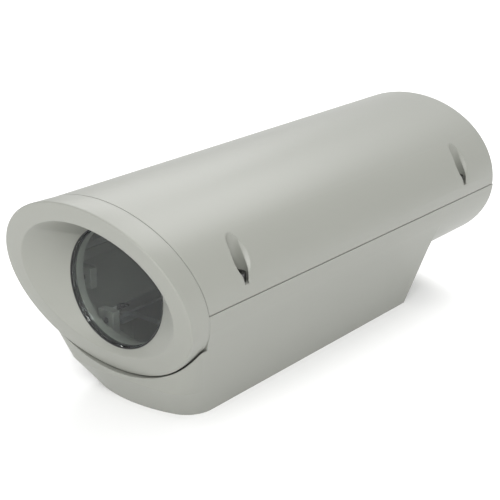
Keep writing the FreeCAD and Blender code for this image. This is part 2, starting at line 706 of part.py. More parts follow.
def upper_cover():
    """Cast upper half: shell with its own rear wall, inner rim, lock screw wells and hinge ears."""
    far_front = "-(seam_y + half_height)"
    above = box("above_split", ("-half_width", "half_width"), (far_front, "rear_y"),
                ("cover_z", "axis_height + half_height"))
    front = behind("cover_front", "-seam_y + seam_gap", "seam_tilt")
    skin = common("cover_skin", oval_bar("cover_tube", "half_width", "half_height", far_front, "rear_y"),
                  above, front)
    bore = oval_bar("cover_bore", "inner_half_width", "inner_half_height", far_front, "rear_y - end_wall")
    rim = rim_frame("cover_rim", "0", "rim_width", "wall / 3 - spigot_end_y", "cover_z",
                    "cover_z + cover_rim_depth", "lock_shank_radius")
    wells = [rod(f"well_wall_{name}", "lock_well_radius + lock_well_wall", "2 * half_height", "lock_x", y,
                 "cover_z") for name, y in lock_places()]
    hollow = cut("cover_hollow", bore, rim, *wells)
    ears, hinge_bores = hinge_ears("cover_ear", "hinge_running_gap",
                                   "hinge_length - 2 * knuckle_length - 2 * knuckle_gap",
                                   ("cover_z", "hinge_z + knuckle_radius"),
                                   ("(knuckle_length + knuckle_gap - hinge_length / 2)",))
    body = fuse("cover_solid", cut("cover_shell", skin, hollow), *ears)
    sinks = [rod(f"well_{name}", "lock_well_radius", "2 * half_height", "lock_x", y, "lock_seat_z")
             for name, y in lock_places()]
    drains = [box(f"drain_{name}", ("lock_x", "half_width + wall"),
                  (f"{y} - lock_drain_width / 2", f"{y} + lock_drain_width / 2"),
                  ("lock_seat_z", "lock_seat_z + lock_drain_height")) for name, y in lock_places()]
    holes = [rod(f"pass_hole_{name}", "lock_thread_radius + lock_pass_gap", "lock_seat_z - cover_z + 2 * overrun",
                 "lock_x", y, "cover_z - overrun") for name, y in lock_places()]
    return cut("upper_cover", body, *sinks, *drains, *holes, *hinge_bores)


def front_hood():
    """Cast hood ring: slanted rim, funnel to the window seat, and the spigot inside the tube."""
    foremost = "-(rim_y + half_height)"
    ring = loft("ring", oval("ring_rear_oval", "half_width", "half_height / cos(seam_tilt)", "-seam_y",
                             "seam_tilt"),
                oval("ring_front_oval", "half_width + ring_flare", "(half_height + ring_flare) / cos(rim_tilt)",
                     "-rim_y", "rim_tilt"))
    spigot = common("spigot_part", oval_bar("spigot", "spigot_half_width", "spigot_half_height", foremost,
                                            "-spigot_end_y"), behind("spigot_front", "wall - rim_y", "rim_tilt"))
    solid = fuse("hood_solid", ring, spigot)
    funnel = loft("funnel", oval("funnel_end", "window_seat", "window_seat", "-window_y", z="window_z"),
                  oval("funnel_mouth", "mouth_half_width", "mouth_half_height", "-rim_y", "rim_tilt"))
    core = oval_bar("hood_core", "spigot_half_width - hood_wall", "spigot_half_height - hood_wall",
                    foremost, "wall - spigot_end_y")
    window_boss = rod("window_boss", "window_seat + window_boss_wall", "rim_y + half_height - window_bore_end_y",
                      "0", foremost, "window_z", "y")
    bosses = [rod(f"hood_boss_{name}", "hood_boss_radius", "rim_y + half_height - spigot_end_y", x, foremost, z,
                  "y") for name, x, z in hood_screw_places()]
    pocket = cut("hood_pocket", common("pocket_room", core, behind("pocket_front", "hood_wall - window_y",
                                                                   "pocket_tilt")), window_boss, *bosses)
    seat = rod("window_counterbore", "window_seat", "glass_thickness + glass_sunk + window_seal_base + overrun", "0",
               "-window_y - overrun", "window_z", "y")
    bore = rod("window_bore_hole", "window_bore", "window_y", "0", "-window_y", "window_z", "y")
    taps = [rod(f"hood_tap_{name}", "screw_radius + fit_gap", "hood_screw_length", x,
                "-spigot_end_y - hood_screw_length + lug_thickness / 2", z, "y")
            for name, x, z in hood_screw_places()]
    seal_groove = cut("seal_groove", oval_bar("seal_groove_outer", "half_width", "half_height",
                                              "-hood_seal_y", "hood_seal_width - hood_seal_y"),
                      oval_bar("seal_groove_inner", "inner_half_width - hood_seal_slack - hood_seal_height",
                               "inner_half_height - hood_seal_slack - hood_seal_height",
                               "-hood_seal_y - overrun", "hood_seal_width - hood_seal_y + overrun"))
    return cut("front_hood", solid, pocket, funnel, seat, bore, seal_groove, *taps)


def hood_gasket():
    """Rubber ring in the spigot's groove, which seals both halves against the hood."""
    return cut("hood_gasket", oval_bar("hood_gasket_outer", "inner_half_width - hood_seal_slack",
                                       "inner_half_height - hood_seal_slack", "-hood_seal_y + fit_gap",
                                       "hood_seal_width - hood_seal_y - fit_gap"),
               oval_bar("hood_gasket_inner", "inner_half_width - hood_seal_slack - hood_seal_height + fit_gap",
                        "inner_half_height - hood_seal_slack - hood_seal_height + fit_gap",
                        "-hood_seal_y - overrun", "hood_seal_width - hood_seal_y + overrun"))


def body_gasket():
    """Rubber cord gasket in the lower rim, round both sides and the rear."""
    return rim_frame("body_gasket", "gasket_inset + gasket_slack", "gasket_width - 2 * gasket_slack",
                     "gasket_slack - spigot_end_y", "split_z - gasket_depth", "split_z + gasket_proud",
                     "ring_radius + wall + gasket_slack")


def window_glass():
    """Flat glass disc with eased edges, just under the end of the funnel."""
    points = [("0", "0"), ("glass_radius - glass_chamfer", "0"), ("glass_radius", "glass_chamfer"),
              ("glass_radius", "glass_thickness - glass_chamfer"),
              ("glass_radius - glass_chamfer", "glass_thickness"), ("0", "glass_thickness")]
    return turned("window_glass", points, y="glass_sunk - window_y", z="window_z", along="y")


def window_gasket():
    """Black L-section rubber ring round the edge of the glass and under it."""
    inner = "glass_radius + fit_gap"
    outer = "window_seat - fit_gap"
    end = "glass_sunk + glass_thickness"
    points = [(inner, "0"), (outer, "0"), (outer, f"{end} + window_seal_base"),
              ("window_bore", f"{end} + window_seal_base"), ("window_bore", end), (inner, end)]
    return turned("window_gasket", points, y="-window_y", z="window_z", along="y")


def hood_screws():
    """Four screws from inside the tube into the hood's bosses."""
    return group("hood_screws", [
        socket_screw(f"hood_screw_{name}", "screw_radius", "screw_head_radius", "screw_head_height",
                     "hood_screw_length", x, "lug_thickness - spigot_end_y", z, "y")
        for name, x, z in hood_screw_places()])


def lock_screw(name, y):
    """Captive cap screw: waisted shank, short thread at the tip and a deep hexagon socket."""
    points = [("0", "0"), ("0", "-lock_length"), ("lock_thread_radius", "-lock_length"),
              ("lock_thread_radius", "lock_thread_length - lock_length"),
              ("lock_shank_radius", "lock_thread_length - lock_length"), ("lock_shank_radius", "0"),
              ("lock_head_radius", "0"), ("lock_head_radius", "lock_head_height"), ("0", "lock_head_height")]
    screw = turned(f"lock_screw_{name}", points, "lock_x", y, "lock_seat_z")
    return pocketed(screw, f"lock_socket_{name}", six_corners("lock_socket_radius"), "lock_socket_depth",
                    lift="lock_head_height")


def lock_ring(name, y):
    """Retaining ring that turns freely on the lock screw's waist and keeps it in the cover."""
    inner = "lock_shank_radius + fit_gap"
    points = [(inner, "0"), ("ring_radius", "0"), ("ring_radius", "ring_thickness"), (inner, "ring_thickness")]
    return turned(f"lock_ring_{name}", points, "lock_x", y, "ring_z")


def hinge_pins():
    """Two plain pins, pressed into the lower body's knuckles."""
    return group("hinge_pins", [rod(f"hinge_pin_{name}", "hinge_pin_radius", "hinge_length", "-hinge_x",
                                    f"{middle} - hinge_length / 2", "hinge_z", "y")
                                for name, middle in hinge_places()])


def tray_rail(side, sign):
    """Folded rail along one side of the tray: a foot on the columns and a channel for its edge."""
    web_in = "tray_half_width + tray_gap"
    web_out = f"{web_in} + rail_sheet"
    lip_in = f"{web_out} - rail_sheet - rail_lip"
    points = [(lip_in, "column_top"), (f"{web_in} + rail_foot", "column_top"),
              (f"{web_in} + rail_foot", "column_top + rail_sheet"), (web_out, "column_top + rail_sheet"),
              (web_out, "rail_top_z + rail_sheet"), (lip_in, "rail_top_z + rail_sheet"),
              (lip_in, "rail_top_z"), (web_in, "rail_top_z"), (web_in, "column_top + rail_sheet"),
              (lip_in, "column_top + rail_sheet")]
    placed = [(f"{sign}({x})", z) for x, z in points]
    rail = padded(f"rail_strip_{side}", placed, "rail_front_y + rail_rear_y", "XZ_Plane", "-rail_rear_y")
    holes = [rod(f"rail_hole_{side}_{end}", "screw_radius + fit_gap", "2 * wall", f"{sign}column_x", y,
                 "column_top - wall") for end, y in (("front", "-column_front_y"), ("rear", "column_rear_y"))]
    return cut(f"drilled_rail_{side}", rail, *holes)


def rail_screws():
    """Four screws that hold the rails on their columns."""
    return group("rail_screws", [
        socket_screw(f"rail_screw_{name}", "screw_radius", "screw_head_radius", "screw_head_height",
                     "rail_screw_length", x, y, "column_top + rail_sheet")
        for name, x, y in corners("column_x", "-column_front_y", "column_rear_y")])


def camera_tray():
    """Sliding plate with a long camera slot, two strap slots and a pull tab folded up at the rear."""
    tray = padded("tray_plate", rectangle("-tray_half_width", "tray_half_width", "-tray_front_y",
                                           "tray_rear_y"), "tray_thickness", lift="tray_z")
    pull = tray.newObject("PartDesign::Pad", "tray_pull")
    pull.Profile = outline(tray, "tray_pull_outline", rectangle(
        "-tray_pull_half", "tray_pull_half", "tray_rear_y - tray_thickness", "tray_rear_y"),
        "XY_Plane", "tray_top_z")
    bind(pull, Length="tray_pull_height")
    tray.Tip = pull
    slots = [("tray_slot", "-tray_slot_half", "tray_slot_half", "-tray_slot_front_y", "tray_slot_rear_y")]
    for side, sign in (("right", ""), ("left", "-")):
        slots.append((f"strap_slot_{side}", f"{sign}tray_side_slot_x - tray_side_slot_half",
                      f"{sign}tray_side_slot_x + tray_side_slot_half", "-tray_side_slot_front_y",
                      "tray_side_slot_rear_y"))
    for name, left, right, front, rear in slots:
        pocketed(tray, name, rectangle(left, right, front, rear), "tray_thickness", lift="tray_top_z")
    return tray


def camera_bush():
    """Plastic T-shaped bush that slides along the tray's slot and insulates the camera screw."""
    bore = "camera_screw_radius + fit_gap"
    barrel = "tray_slot_half - bush_barrel_gap"
    top = "bush_flange + bush_gap + tray_thickness - bush_barrel_drop"
    points = [(bore, "0"), ("bush_flange_radius", "0"), ("bush_flange_radius", "bush_flange"),
              (barrel, "bush_flange"), (barrel, top), (bore, top)]
    return turned("camera_bush", points, "0", "-camera_screw_y", "bush_z")


def camera_screw():
    """Camera fixing screw with a gripped knob under the tray."""
    reach = "tray_top_z + camera_screw_reach - knob_top_z"
    shank = rod("camera_shank", "camera_screw_radius", f"{reach} + wall", "0", "-camera_screw_y",
                "knob_top_z - wall")
    knob = rod("camera_knob", "camera_knob_radius", "camera_knob_height", "0", "-camera_screw_y",
               "knob_top_z - camera_knob_height")
    count = round(size("camera_knob_grips"))
    grips = [rod(f"knob_grip_{k}", "camera_grip_radius", "camera_knob_height + 2 * overrun",
                 f"camera_knob_radius * cos({360 * k / count})",
                 f"camera_knob_radius * sin({360 * k / count}) - camera_screw_y",
                 "knob_top_z - camera_knob_height - overrun") for k in range(count)]
    return cut("camera_screw", fuse("camera_screw_blank", knob, shank), *grips)


def bracket_inserts():
    """Four brass threaded inserts for the bracket screws, just under the foot's flat face."""
    inserts = []
    for name, x, y in corners("bracket_spacing_x / 2", "-bracket_spacing_y / 2", "bracket_spacing_y / 2"):
        points = [("insert_bore", "0"), ("insert_radius", "0"), ("insert_radius", "insert_length"),
                  ("insert_bore", "insert_length")]
        inserts.append(turned(f"bracket_insert_{name}", points, x, y, "insert_sunk"))
    return group("bracket_inserts", inserts)


def board_standoffs():
    """Four hexagonal brass spacers with a stud in the floor of the foot."""
    pieces = []
    for name, x, y in board_holes():
        column = hexagon(f"spacer_{name}", "standoff_radius", "standoff_height", x, y, "foot_floor")
        stud = rod(f"spacer_stud_{name}", "small_screw_radius", "standoff_stud + overrun", x, y,
                   "foot_floor - standoff_stud")
        bore = rod(f"spacer_bore_{name}", "small_screw_radius + fit_gap", "standoff_height - wall", x, y,
                   "foot_floor + wall + fit_gap")
        pieces.append(cut(f"standoff_{name}", fuse(f"spacer_whole_{name}", column, stud), bore))
    return group("board_standoffs", pieces)


def terminal_board():
    """Circuit board that carries the terminals, drilled for its four screws."""
    board = padded("terminal_board_plate", rectangle("-board_half_width", "board_half_width", "board_front_y",
                                                     "board_front_y + board_length"),
                   "board_thickness", lift="board_z")
    holes = [rod(f"board_hole_{name}", "small_screw_radius + fit_gap", "board_thickness + 2 * overrun", x,
                 y, "board_z - overrun") for name, x, y in board_holes()]
    return cut("terminal_board", board, *holes)


def board_screws():
    """Four small screws through the board into the spacers."""
    return group("board_screws", [
        socket_screw(f"board_screw_{name}", "small_screw_radius", "small_head_radius", "small_head_height",
                     "standoff_height - wall", x, y, "board_z + board_thickness")
        for name, x, y in board_holes()])


def terminal_blocks():
    """Two screw terminal blocks on the board, each with a row of clamp screw wells."""
    top = "board_z + board_thickness + block_height"
    blocks = []
    for name, shift in (("front", "-block_row_gap / 2"), ("rear", "block_row_gap / 2")):
        middle = f"board_front_y + board_length / 2 + {shift}"
        block = box(f"block_{name}", ("-block_length / 2", "block_length / 2"),
                    (f"{middle} - block_width / 2", f"{middle} + block_width / 2"),
                    ("board_z + board_thickness", top))
        ways = round(size("block_ways"))
        wells = [rod(f"block_{name}_well_{k}", "block_screw_radius", "block_screw_depth + overrun",
                     f"block_length * {k + 0.5} / {ways} - block_length / 2", middle,
                     f"{top} - block_screw_depth") for k in range(ways)]
        blocks.append(cut(f"terminal_block_{name}", block, *wells))
    return group("terminal_blocks", blocks)


def window_heater():
    """Finned aluminium heating resistor on the floor, behind the foot's front wall."""
    top = "foot_floor + heater_height"
    base = box("heater_plate", ("-heater_half_width", "heater_half_width"),
               ("-heater_y - heater_half_depth", "heater_half_depth - heater_y"),
               ("foot_floor", "foot_floor + heater_base"))
    count = round(size("heater_fin_count"))
    fins = [box(f"heater_fin_{k}", ("-heater_body_half", "heater_body_half"),
                (f"(2 * heater_half_depth - heater_fin) * {k / (count - 1)} - heater_half_depth - heater_y",
                 f"(2 * heater_half_depth - heater_fin) * {k / (count - 1)} - heater_half_depth - heater_y"
                 " + heater_fin"), ("foot_floor + heater_base / 2", top)) for k in range(count)]
    core = box("heater_core", ("-heater_body_half", "heater_body_half"),
               ("-heater_y - heater_half_depth", "heater_half_depth - heater_y"),
               ("foot_floor + heater_base / 2", "foot_floor + heater_height / 2"))
    holes = [rod(f"heater_bolt_hole_{name}", "screw_radius + fit_gap", "2 * heater_base", x, "-heater_y",
                 "foot_floor - overrun") for name, x in (("right", "heater_hole_x"), ("left", "-heater_hole_x"))]
    return cut("window_heater", fuse("heater_whole", base, core, *fins), *holes)


def heater_screws():
    """Two screws that hold the heater down."""
    return group("heater_screws", [
        socket_screw(f"heater_screw_{name}", "screw_radius", "screw_head_radius", "screw_head_height",
                     "heater_base + foot_floor / 2", x, "-heater_y", "foot_floor + heater_base")
        for name, x in (("right", "heater_hole_x"), ("left", "-heater_hole_x"))])


def gland_bodies():
    """Cable gland bodies: hexagon outside the wall, thread through it and a seat for the seal."""
    pieces = []
    for name, x in gland_places():
        nut = hexagon(f"gland_hex_{name}", "gland_hex_radius", "gland_hex_height", x, "gland_face_y",
                      "gland_z", "y")
        thread = rod(f"gland_thread_{name}", "gland_thread_radius", "gland_thread_length + gland_hex_height / 2",
                     x, "gland_face_y - gland_thread_length", "gland_z", "y")
        barrel = rod(f"gland_barrel_{name}", "gland_barrel_radius", "gland_barrel_length + gland_hex_height / 2",
                     x, "gland_face_y + gland_hex_height / 2", "gland_z", "y")
        bore = rod(f"gland_bore_{name}", "gland_bore", "gland_thread_length + gland_hex_height", x,
                   "gland_face_y - gland_thread_length - overrun", "gland_z", "y")
        seat = rod(f"gland_seat_{name}", "gland_seat_radius", "gland_hex_height + gland_barrel_length", x,
                   "gland_face_y + gland_hex_height / 2", "gland_z", "y")
        pieces.append(cut(f"gland_body_{name}", fuse(f"gland_blank_{name}", nut, thread, barrel), bore, seat))
    return group("gland_bodies", pieces)


def gland_seals():
    """Soft sleeves in the glands that close on the cable."""
    points = [("gland_seal_bore", "0"), ("gland_seal_radius", "0"), ("gland_seal_radius", "gland_seal_length"),
              ("gland_seal_bore", "gland_seal_length")]
    return group("gland_seals", [turned(f"gland_seal_{name}", points, x,
                                        "gland_face_y + gland_hex_height / 2 + fit_gap", "gland_z", "y")
                                 for name, x in gland_places()])


def gland_caps():
    """Domed gland nuts that squeeze the seals."""
    start = "gland_hex_height + 2 * fit_gap"
    throat = "gland_barrel_radius + fit_gap"
    deep = "gland_barrel_length + gland_hex_height + 2 * fit_gap"
    end = "gland_hex_height + gland_cap_length"
    shoulder = "gland_hex_height + gland_cap_length * 0.6"
    points = [(throat, start), ("gland_cap_radius", start), ("gland_cap_radius", shoulder),
              ("gland_cap_nose", end), ("gland_bore", end), ("gland_bore", deep), (throat, deep)]
    return group("gland_caps", [turned(f"gland_cap_{name}", points, x, "gland_face_y", "gland_z", "y")
                                for name, x in gland_places()])


def gland_washers():
    """Flat rubber washers between the glands and the foot's rear wall."""
    points = [("gland_thread_radius + fit_gap", "0"), ("gland_washer_radius", "0"),
              ("gland_washer_radius", "gland_washer"), ("gland_thread_radius + fit_gap", "gland_washer")]
    return group("gland_washers", [turned(f"gland_washer_{name}", points, x, "foot_rear_y", "gland_z", "y")
                                   for name, x in gland_places()])


def gland_nuts():
    """Hexagonal lock nuts inside the foot."""
    pieces = []
    for name, x in gland_places():
        nut = hexagon(f"gland_nut_hex_{name}", "gland_hex_radius", "gland_nut_height", x,
                      "foot_rear_y - wall - gland_nut_height", "gland_z", "y")
        bore = rod(f"gland_nut_bore_{name}", "gland_thread_radius + fit_gap", "gland_nut_height + 2 * overrun", x,
                   "foot_rear_y - wall - gland_nut_height - overrun", "gland_z", "y")
        pieces.append(cut(f"gland_nut_{name}", nut, bore))
    return group("gland_nuts", pieces)


def earth_washer():
    """Plain washer under the earth screw."""
    bore = "screw_radius + fit_gap"
    points = [(bore, "0"), ("earth_washer_radius", "0"), ("earth_washer_radius", "earth_washer"),
              (bore, "earth_washer")]
    return turned("earth_washer_disc", points, "0", "earth_y", "foot_floor + earth_boss_height")


def earth_screw():
    """Earth terminal screw on its boss."""
    return socket_screw("earth_terminal_screw", "screw_radius", "screw_head_radius", "screw_head_height",
                        "earth_washer + earth_boss_height", "0", "earth_y",
                        "foot_floor + earth_boss_height + earth_washer")


NODES = {
    "lower_body": lower_body(),
    "upper_cover": upper_cover(),
    "front_hood": front_hood(),
    "hood_gasket": hood_gasket(),
    "hood_screws": hood_screws(),
    "window_glass": window_glass(),
    "window_gasket": window_gasket(),
    "body_gasket": body_gasket(),
    "hinge_pins": hinge_pins(),
    "lock_screw_front": lock_screw("front", "-lock_front_y"),
    "lock_screw_rear": lock_screw("rear", "lock_rear_y"),
    "lock_ring_front": lock_ring("front", "-lock_front_y"),
    "lock_ring_rear": lock_ring("rear", "lock_rear_y"),
    "tray_rail_right": tray_rail("right", ""),
    "tray_rail_left": tray_rail("left", "-"),
    "rail_screws": rail_screws(),
    "camera_tray": camera_tray(),
    "camera_bush": camera_bush(),
    "camera_screw": camera_screw(),
    "terminal_board": terminal_board(),
    "terminal_blocks": terminal_blocks(),
    "board_standoffs": board_standoffs(),
    "board_screws": board_screws(),
    "window_heater": window_heater(),
    "heater_screws": heater_screws(),
    "gland_bodies": gland_bodies(),
    "gland_seals": gland_seals(),
    "gland_caps": gland_caps(),
    "gland_washers": gland_washers(),
    "gland_nuts": gland_nuts(),
    "bracket_inserts": bracket_inserts(),
    "earth_washer": earth_washer(),
    "earth_screw": earth_screw(),
}

doc.recompute()
for obj in doc.Objects:
    if "Invalid" in obj.State or "Error" in obj.State:
        raise SystemExit(f"{obj.Name} did not recompute: {obj.State}")
for name, node in NODES.items():
    if node.Shape.isNull() or not node.Shape.isValid():
        raise SystemExit(f"{name} has no valid shape")
for name, node in NODES.items():
    node.Label = name
    node.Shape.exportStep(f"parts/{name}.step")
    spread = node.Shape.BoundBox
    print(f"{name}: {len(node.Shape.Solids)} solids, {node.Shape.Volume / 1000:.2f} cm3, "
          f"x {spread.XMin:.1f}..{spread.XMax:.1f}, y {spread.YMin:.1f}..{spread.YMax:.1f}, "
          f"z {spread.ZMin:.1f}..{spread.ZMax:.1f}")
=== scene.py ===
import json
from math import atan2, cos, pi, radians, sin, sqrt, tan

import bmesh
import bpy
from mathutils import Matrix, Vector


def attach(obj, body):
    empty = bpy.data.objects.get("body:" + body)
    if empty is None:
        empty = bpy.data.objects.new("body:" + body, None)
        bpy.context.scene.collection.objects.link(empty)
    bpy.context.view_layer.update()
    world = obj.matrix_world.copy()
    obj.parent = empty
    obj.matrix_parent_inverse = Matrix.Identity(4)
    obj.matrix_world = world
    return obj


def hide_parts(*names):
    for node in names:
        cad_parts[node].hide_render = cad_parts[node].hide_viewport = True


# Outdoor security camera housing, put together in the order of a workshop: castings first, then
# what is screwed into them. Metres, +Z up, the window looks along -Y, the lock screws are at +X.
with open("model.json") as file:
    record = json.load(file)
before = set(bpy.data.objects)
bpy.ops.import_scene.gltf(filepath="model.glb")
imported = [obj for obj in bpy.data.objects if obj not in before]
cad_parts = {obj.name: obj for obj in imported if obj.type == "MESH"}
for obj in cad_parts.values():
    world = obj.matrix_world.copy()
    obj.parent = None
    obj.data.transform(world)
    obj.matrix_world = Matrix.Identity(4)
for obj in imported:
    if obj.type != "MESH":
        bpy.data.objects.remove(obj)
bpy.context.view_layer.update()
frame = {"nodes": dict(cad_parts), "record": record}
bpy.ops.object.select_all(action="DESELECT")

# The finish of all three castings: light warm grey polyester powder, satin, baked on die-cast
# aluminium. It has a very fine orange-peel surface, and its thickness rounds every sharp edge.
powder_grey = (0.240, 0.245, 0.219)
cast_edge = 0.0009


def node(tree, kind, **inputs):
    made = tree.nodes.new(kind)
    for name, value in inputs.items():
        made.inputs[name.replace("_", " ")].default_value = value
    return made


def finish(name, colour, roughness, metallic=0.0, scale=60.0, stretch=(1, 1, 1), spread=0.08,
           relief=0.05, edge=0.0003, coat=0.0):
    """A finish whose tint, gloss and fine relief come from noise of the real grain's size."""
    uneven = 0.04
    made = bpy.data.materials.new(name)
    made.use_nodes = True
    tree = made.node_tree
    shader = tree.nodes["Principled BSDF"]
    shader.inputs["Metallic"].default_value = metallic
    shader.inputs["Coat Weight"].default_value = coat
    shader.inputs["Coat Roughness"].default_value = 0.3
    place = node(tree, "ShaderNodeTexCoord")
    grid = node(tree, "ShaderNodeMapping", Scale=stretch)
    grain = node(tree, "ShaderNodeTexNoise", Scale=scale, Detail=4.0)
    cloud = node(tree, "ShaderNodeTexNoise", Scale=14.0, Detail=2.0)
    tint = node(tree, "ShaderNodeMix")
    tint.data_type = "RGBA"
    tint.inputs["A"].default_value = tuple(c * (1 - spread) for c in colour) + (1,)
    tint.inputs["B"].default_value = tuple(min(c * (1 + spread), 1) for c in colour) + (1,)
    gloss = node(tree, "ShaderNodeMapRange", To_Min=roughness - uneven, To_Max=roughness + uneven)
    soft = node(tree, "ShaderNodeBevel", Radius=edge)
    soft.samples = 6
    bump = node(tree, "ShaderNodeBump", Strength=relief, Distance=0.0002)
    tree.links.new(place.outputs["Object"], grid.inputs["Vector"])
    tree.links.new(grid.outputs["Vector"], grain.inputs["Vector"])
    tree.links.new(place.outputs["Object"], cloud.inputs["Vector"])
    tree.links.new(cloud.outputs["Fac"], tint.inputs["Factor"])
    tree.links.new(tint.outputs["Result"], shader.inputs["Base Color"])
    tree.links.new(grain.outputs["Fac"], gloss.inputs["Value"])
    tree.links.new(gloss.outputs["Result"], shader.inputs["Roughness"])
    tree.links.new(grain.outputs["Fac"], bump.inputs["Height"])
    tree.links.new(soft.outputs["Normal"], bump.inputs["Normal"])
    tree.links.new(bump.outputs["Normal"], shader.inputs["Normal"])
    return made


powder = finish("grey_powder_coat", powder_grey, 0.44, scale=900.0, spread=0.012, relief=0.08,
                edge=cast_edge, coat=0.12)

# Front hood: one die casting with a slanted rim, a funnel down to the window seat and a spigot that
# pushes into the tube. Its ring is flush with the tube at the seam. Four screws hold it from behind.
axis_z, window_z = 0.0755, 0.0724
half_width, half_height, wall = 0.0650, 0.0505, 0.0030
spigot_x, spigot_z = 0.0612, 0.0467
seam_lean, rim_lean, pocket_lean = radians(14.8), radians(17.5), radians(10.0)
seam_y, rim_y, window_y, spigot_end_y = -0.1210, -0.1360, -0.12075, -0.1000
rim_x, rim_z, rim_rounding = 0.0656, 0.0511, 0.0012
mouth_x, mouth_z, mouth_rounding = 0.0536, 0.0419, 0.0008
seal_front, seal_rear, seal_depth = -0.1060, -0.1030, 0.0015
seat_radius, bore_radius, boss_radius = 0.03425, 0.0330, 0.03865
seat_end, bore_end, pocket_y = -0.11605, -0.1108, -0.11725
pocket_x, pocket_z = 0.0577, 0.0432
around, weld = 160, 0.000002


def edit(piece):
    bpy.ops.object.select_all(action="DESELECT")
    piece.select_set(True)
    bpy.context.view_layer.objects.active = piece
    bpy.ops.object.mode_set(mode="EDIT")


def finish_edit(piece, sharp=30):
    """Joins seams, turns the faces outward and smooths all but the sharp edges."""
    bpy.ops.mesh.select_all(action="SELECT")
    bpy.ops.mesh.remove_doubles(threshold=weld)
    bpy.ops.mesh.normals_make_consistent(inside=False)
    bpy.ops.object.mode_set(mode="OBJECT")
    bpy.ops.object.shade_smooth_by_angle(angle=radians(sharp))
    bpy.ops.object.select_all(action="DESELECT")
    return piece


def oval_skin(name, stations, filled=False):
    """Adds an ellipse across the tube and draws it out through the other stations.

    A station is half width, half height, place along the tube, forward lean and middle's height."""
    bpy.ops.object.select_all(action="DESELECT")
    bpy.ops.mesh.primitive_circle_add(vertices=around, radius=1, fill_type="NGON" if filled else "NOTHING")
    piece = bpy.context.object
    piece.name = name
    bpy.ops.object.mode_set(mode="EDIT")
    bpy.ops.mesh.select_mode(type="FACE" if filled else "EDGE")
    bpy.ops.mesh.select_all(action="SELECT")
    bpy.ops.transform.rotate(value=-pi / 2, orient_axis="X", center_override=(0, 0, 0))
    last_x, last_z, last_y, last_lean, last_height = 1, 1, 0, 0, 0
    for index, (half_x, half_z, y, lean, z) in enumerate(stations):
        middle = (0, last_y, last_height)
        if index:
            bpy.ops.mesh.extrude_region()
        bpy.ops.transform.rotate(value=last_lean, orient_axis="X", center_override=middle)
        bpy.ops.transform.resize(value=(half_x / last_x, 1, half_z / last_z), center_override=middle)
        bpy.ops.transform.rotate(value=-lean, orient_axis="X", center_override=middle)
        bpy.ops.transform.translate(value=(0, y - last_y, z - last_height))
        last_x, last_z, last_y, last_lean, last_height = half_x, half_z, y, lean, z
    return piece


def pick_edges(piece, wanted):
    """Selects the edges of the piece being edited whose two ends both pass the test."""
    bpy.ops.mesh.select_all(action="DESELECT")
    bpy.ops.mesh.select_mode(type="EDGE")
    mesh = bmesh.from_edit_mesh(piece.data)
    for edge in mesh.edges:
        edge.select_set(wanted(edge.verts[0].co) and wanted(edge.verts[1].co))
    mesh.select_flush_mode()
    bmesh.update_edit_mesh(piece.data)


def on_oval(place, half_x, half_z, y, lean, z=axis_z):
    """Whether a point lies on the given ellipse."""
    off_plane, off_oval = 0.00001, 0.001
    up = (place.z - z) / cos(lean)
    forward = place.y - y + (place.z - z) * tan(lean)
    return abs(forward) < off_plane and abs((place.x / half_x) ** 2 + (up / half_z) ** 2 - 1) < off_oval


rim = (rim_x, rim_z / cos(rim_lean), rim_y, rim_lean, axis_z)
mouth = (mouth_x, mouth_z, rim_y, rim_lean, axis_z)
groove_x, groove_z = spigot_x - seal_depth, spigot_z - seal_depth
hood_stations = [
    (spigot_x, spigot_z, spigot_end_y, 0, axis_z), (spigot_x, spigot_z, seal_rear, 0, axis_z),
    (groove_x, groove_z, seal_rear, 0, axis_z), (groove_x, groove_z, seal_front, 0, axis_z),
    (spigot_x, spigot_z, seal_front, 0, axis_z),
    (spigot_x, spigot_z / cos(seam_lean), seam_y, seam_lean, axis_z),
    (half_width, half_height / cos(seam_lean), seam_y, seam_lean, axis_z), rim, mouth,
    (seat_radius, seat_radius, window_y, 0, window_z), (seat_radius, seat_radius, seat_end, 0, window_z),
    (bore_radius, bore_radius, seat_end, 0, window_z), (bore_radius, bore_radius, bore_end, 0, window_z),
    (boss_radius, boss_radius, bore_end, 0, window_z),
    (boss_radius, boss_radius / cos(pocket_lean), pocket_y, pocket_lean, window_z),
    (pocket_x, pocket_z / cos(pocket_lean), pocket_y, pocket_lean, axis_z),
    (pocket_x, pocket_z, spigot_end_y, 0, axis_z), (spigot_x, spigot_z, spigot_end_y, 0, axis_z),
]
hood = oval_skin("hood_casting", hood_stations)
bpy.ops.mesh.select_all(action="SELECT")
bpy.ops.mesh.remove_doubles(threshold=weld)
for edge_oval, rounding in ((rim, rim_rounding), (mouth, mouth_rounding)):
    pick_edges(hood, lambda place: on_oval(place, *edge_oval))
    bpy.ops.mesh.bevel(offset=rounding, offset_type="WIDTH", segments=4, profile=0.5)
finish_edit(hood)
hood.data.materials.append(powder)
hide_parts("front_hood")
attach(hood, "base")

# Upper cover: the top half of the tube, cast with its end wall, a band round its lower edge, two wells
# for the lock screws' key and two hinge ears on the left. It opens like a lid on that side.
cover_z, cover_seam_y, rear_y, rear_round, end_wall = 0.0730, seam_y + 0.0003, 0.1750, 0.0012, 0.0030
band_width, band_top, band_front, band_pad = 0.0100, 0.0770, -0.0990, 0.0120
lock_x, lock_places, seat_z = 0.0580, (-0.0891, 0.1371), 0.0808
well_wall_radius, well_half_x, well_half_y, well_shift = 0.0089, 0.0064, 0.0050, 0.0006
drain_half_width, drain_top, pass_radius, lip = 0.0016, 0.0918, 0.00275, 0.0012
cone_height, cone_above, cone_stretch = 0.0100, 0.0060, 2.3
bar_diagonal, bar_overhang = 0.0060, 0.0030
hinge_x, hinge_z, hinge_middles, hinge_half_length = -0.0695, 0.07275, (-0.0500, 0.1200), 0.0160
knuckle_radius, cover_knuckle, pin_radius, running_gap = 0.0040, 0.0072, 0.0015, 0.00006
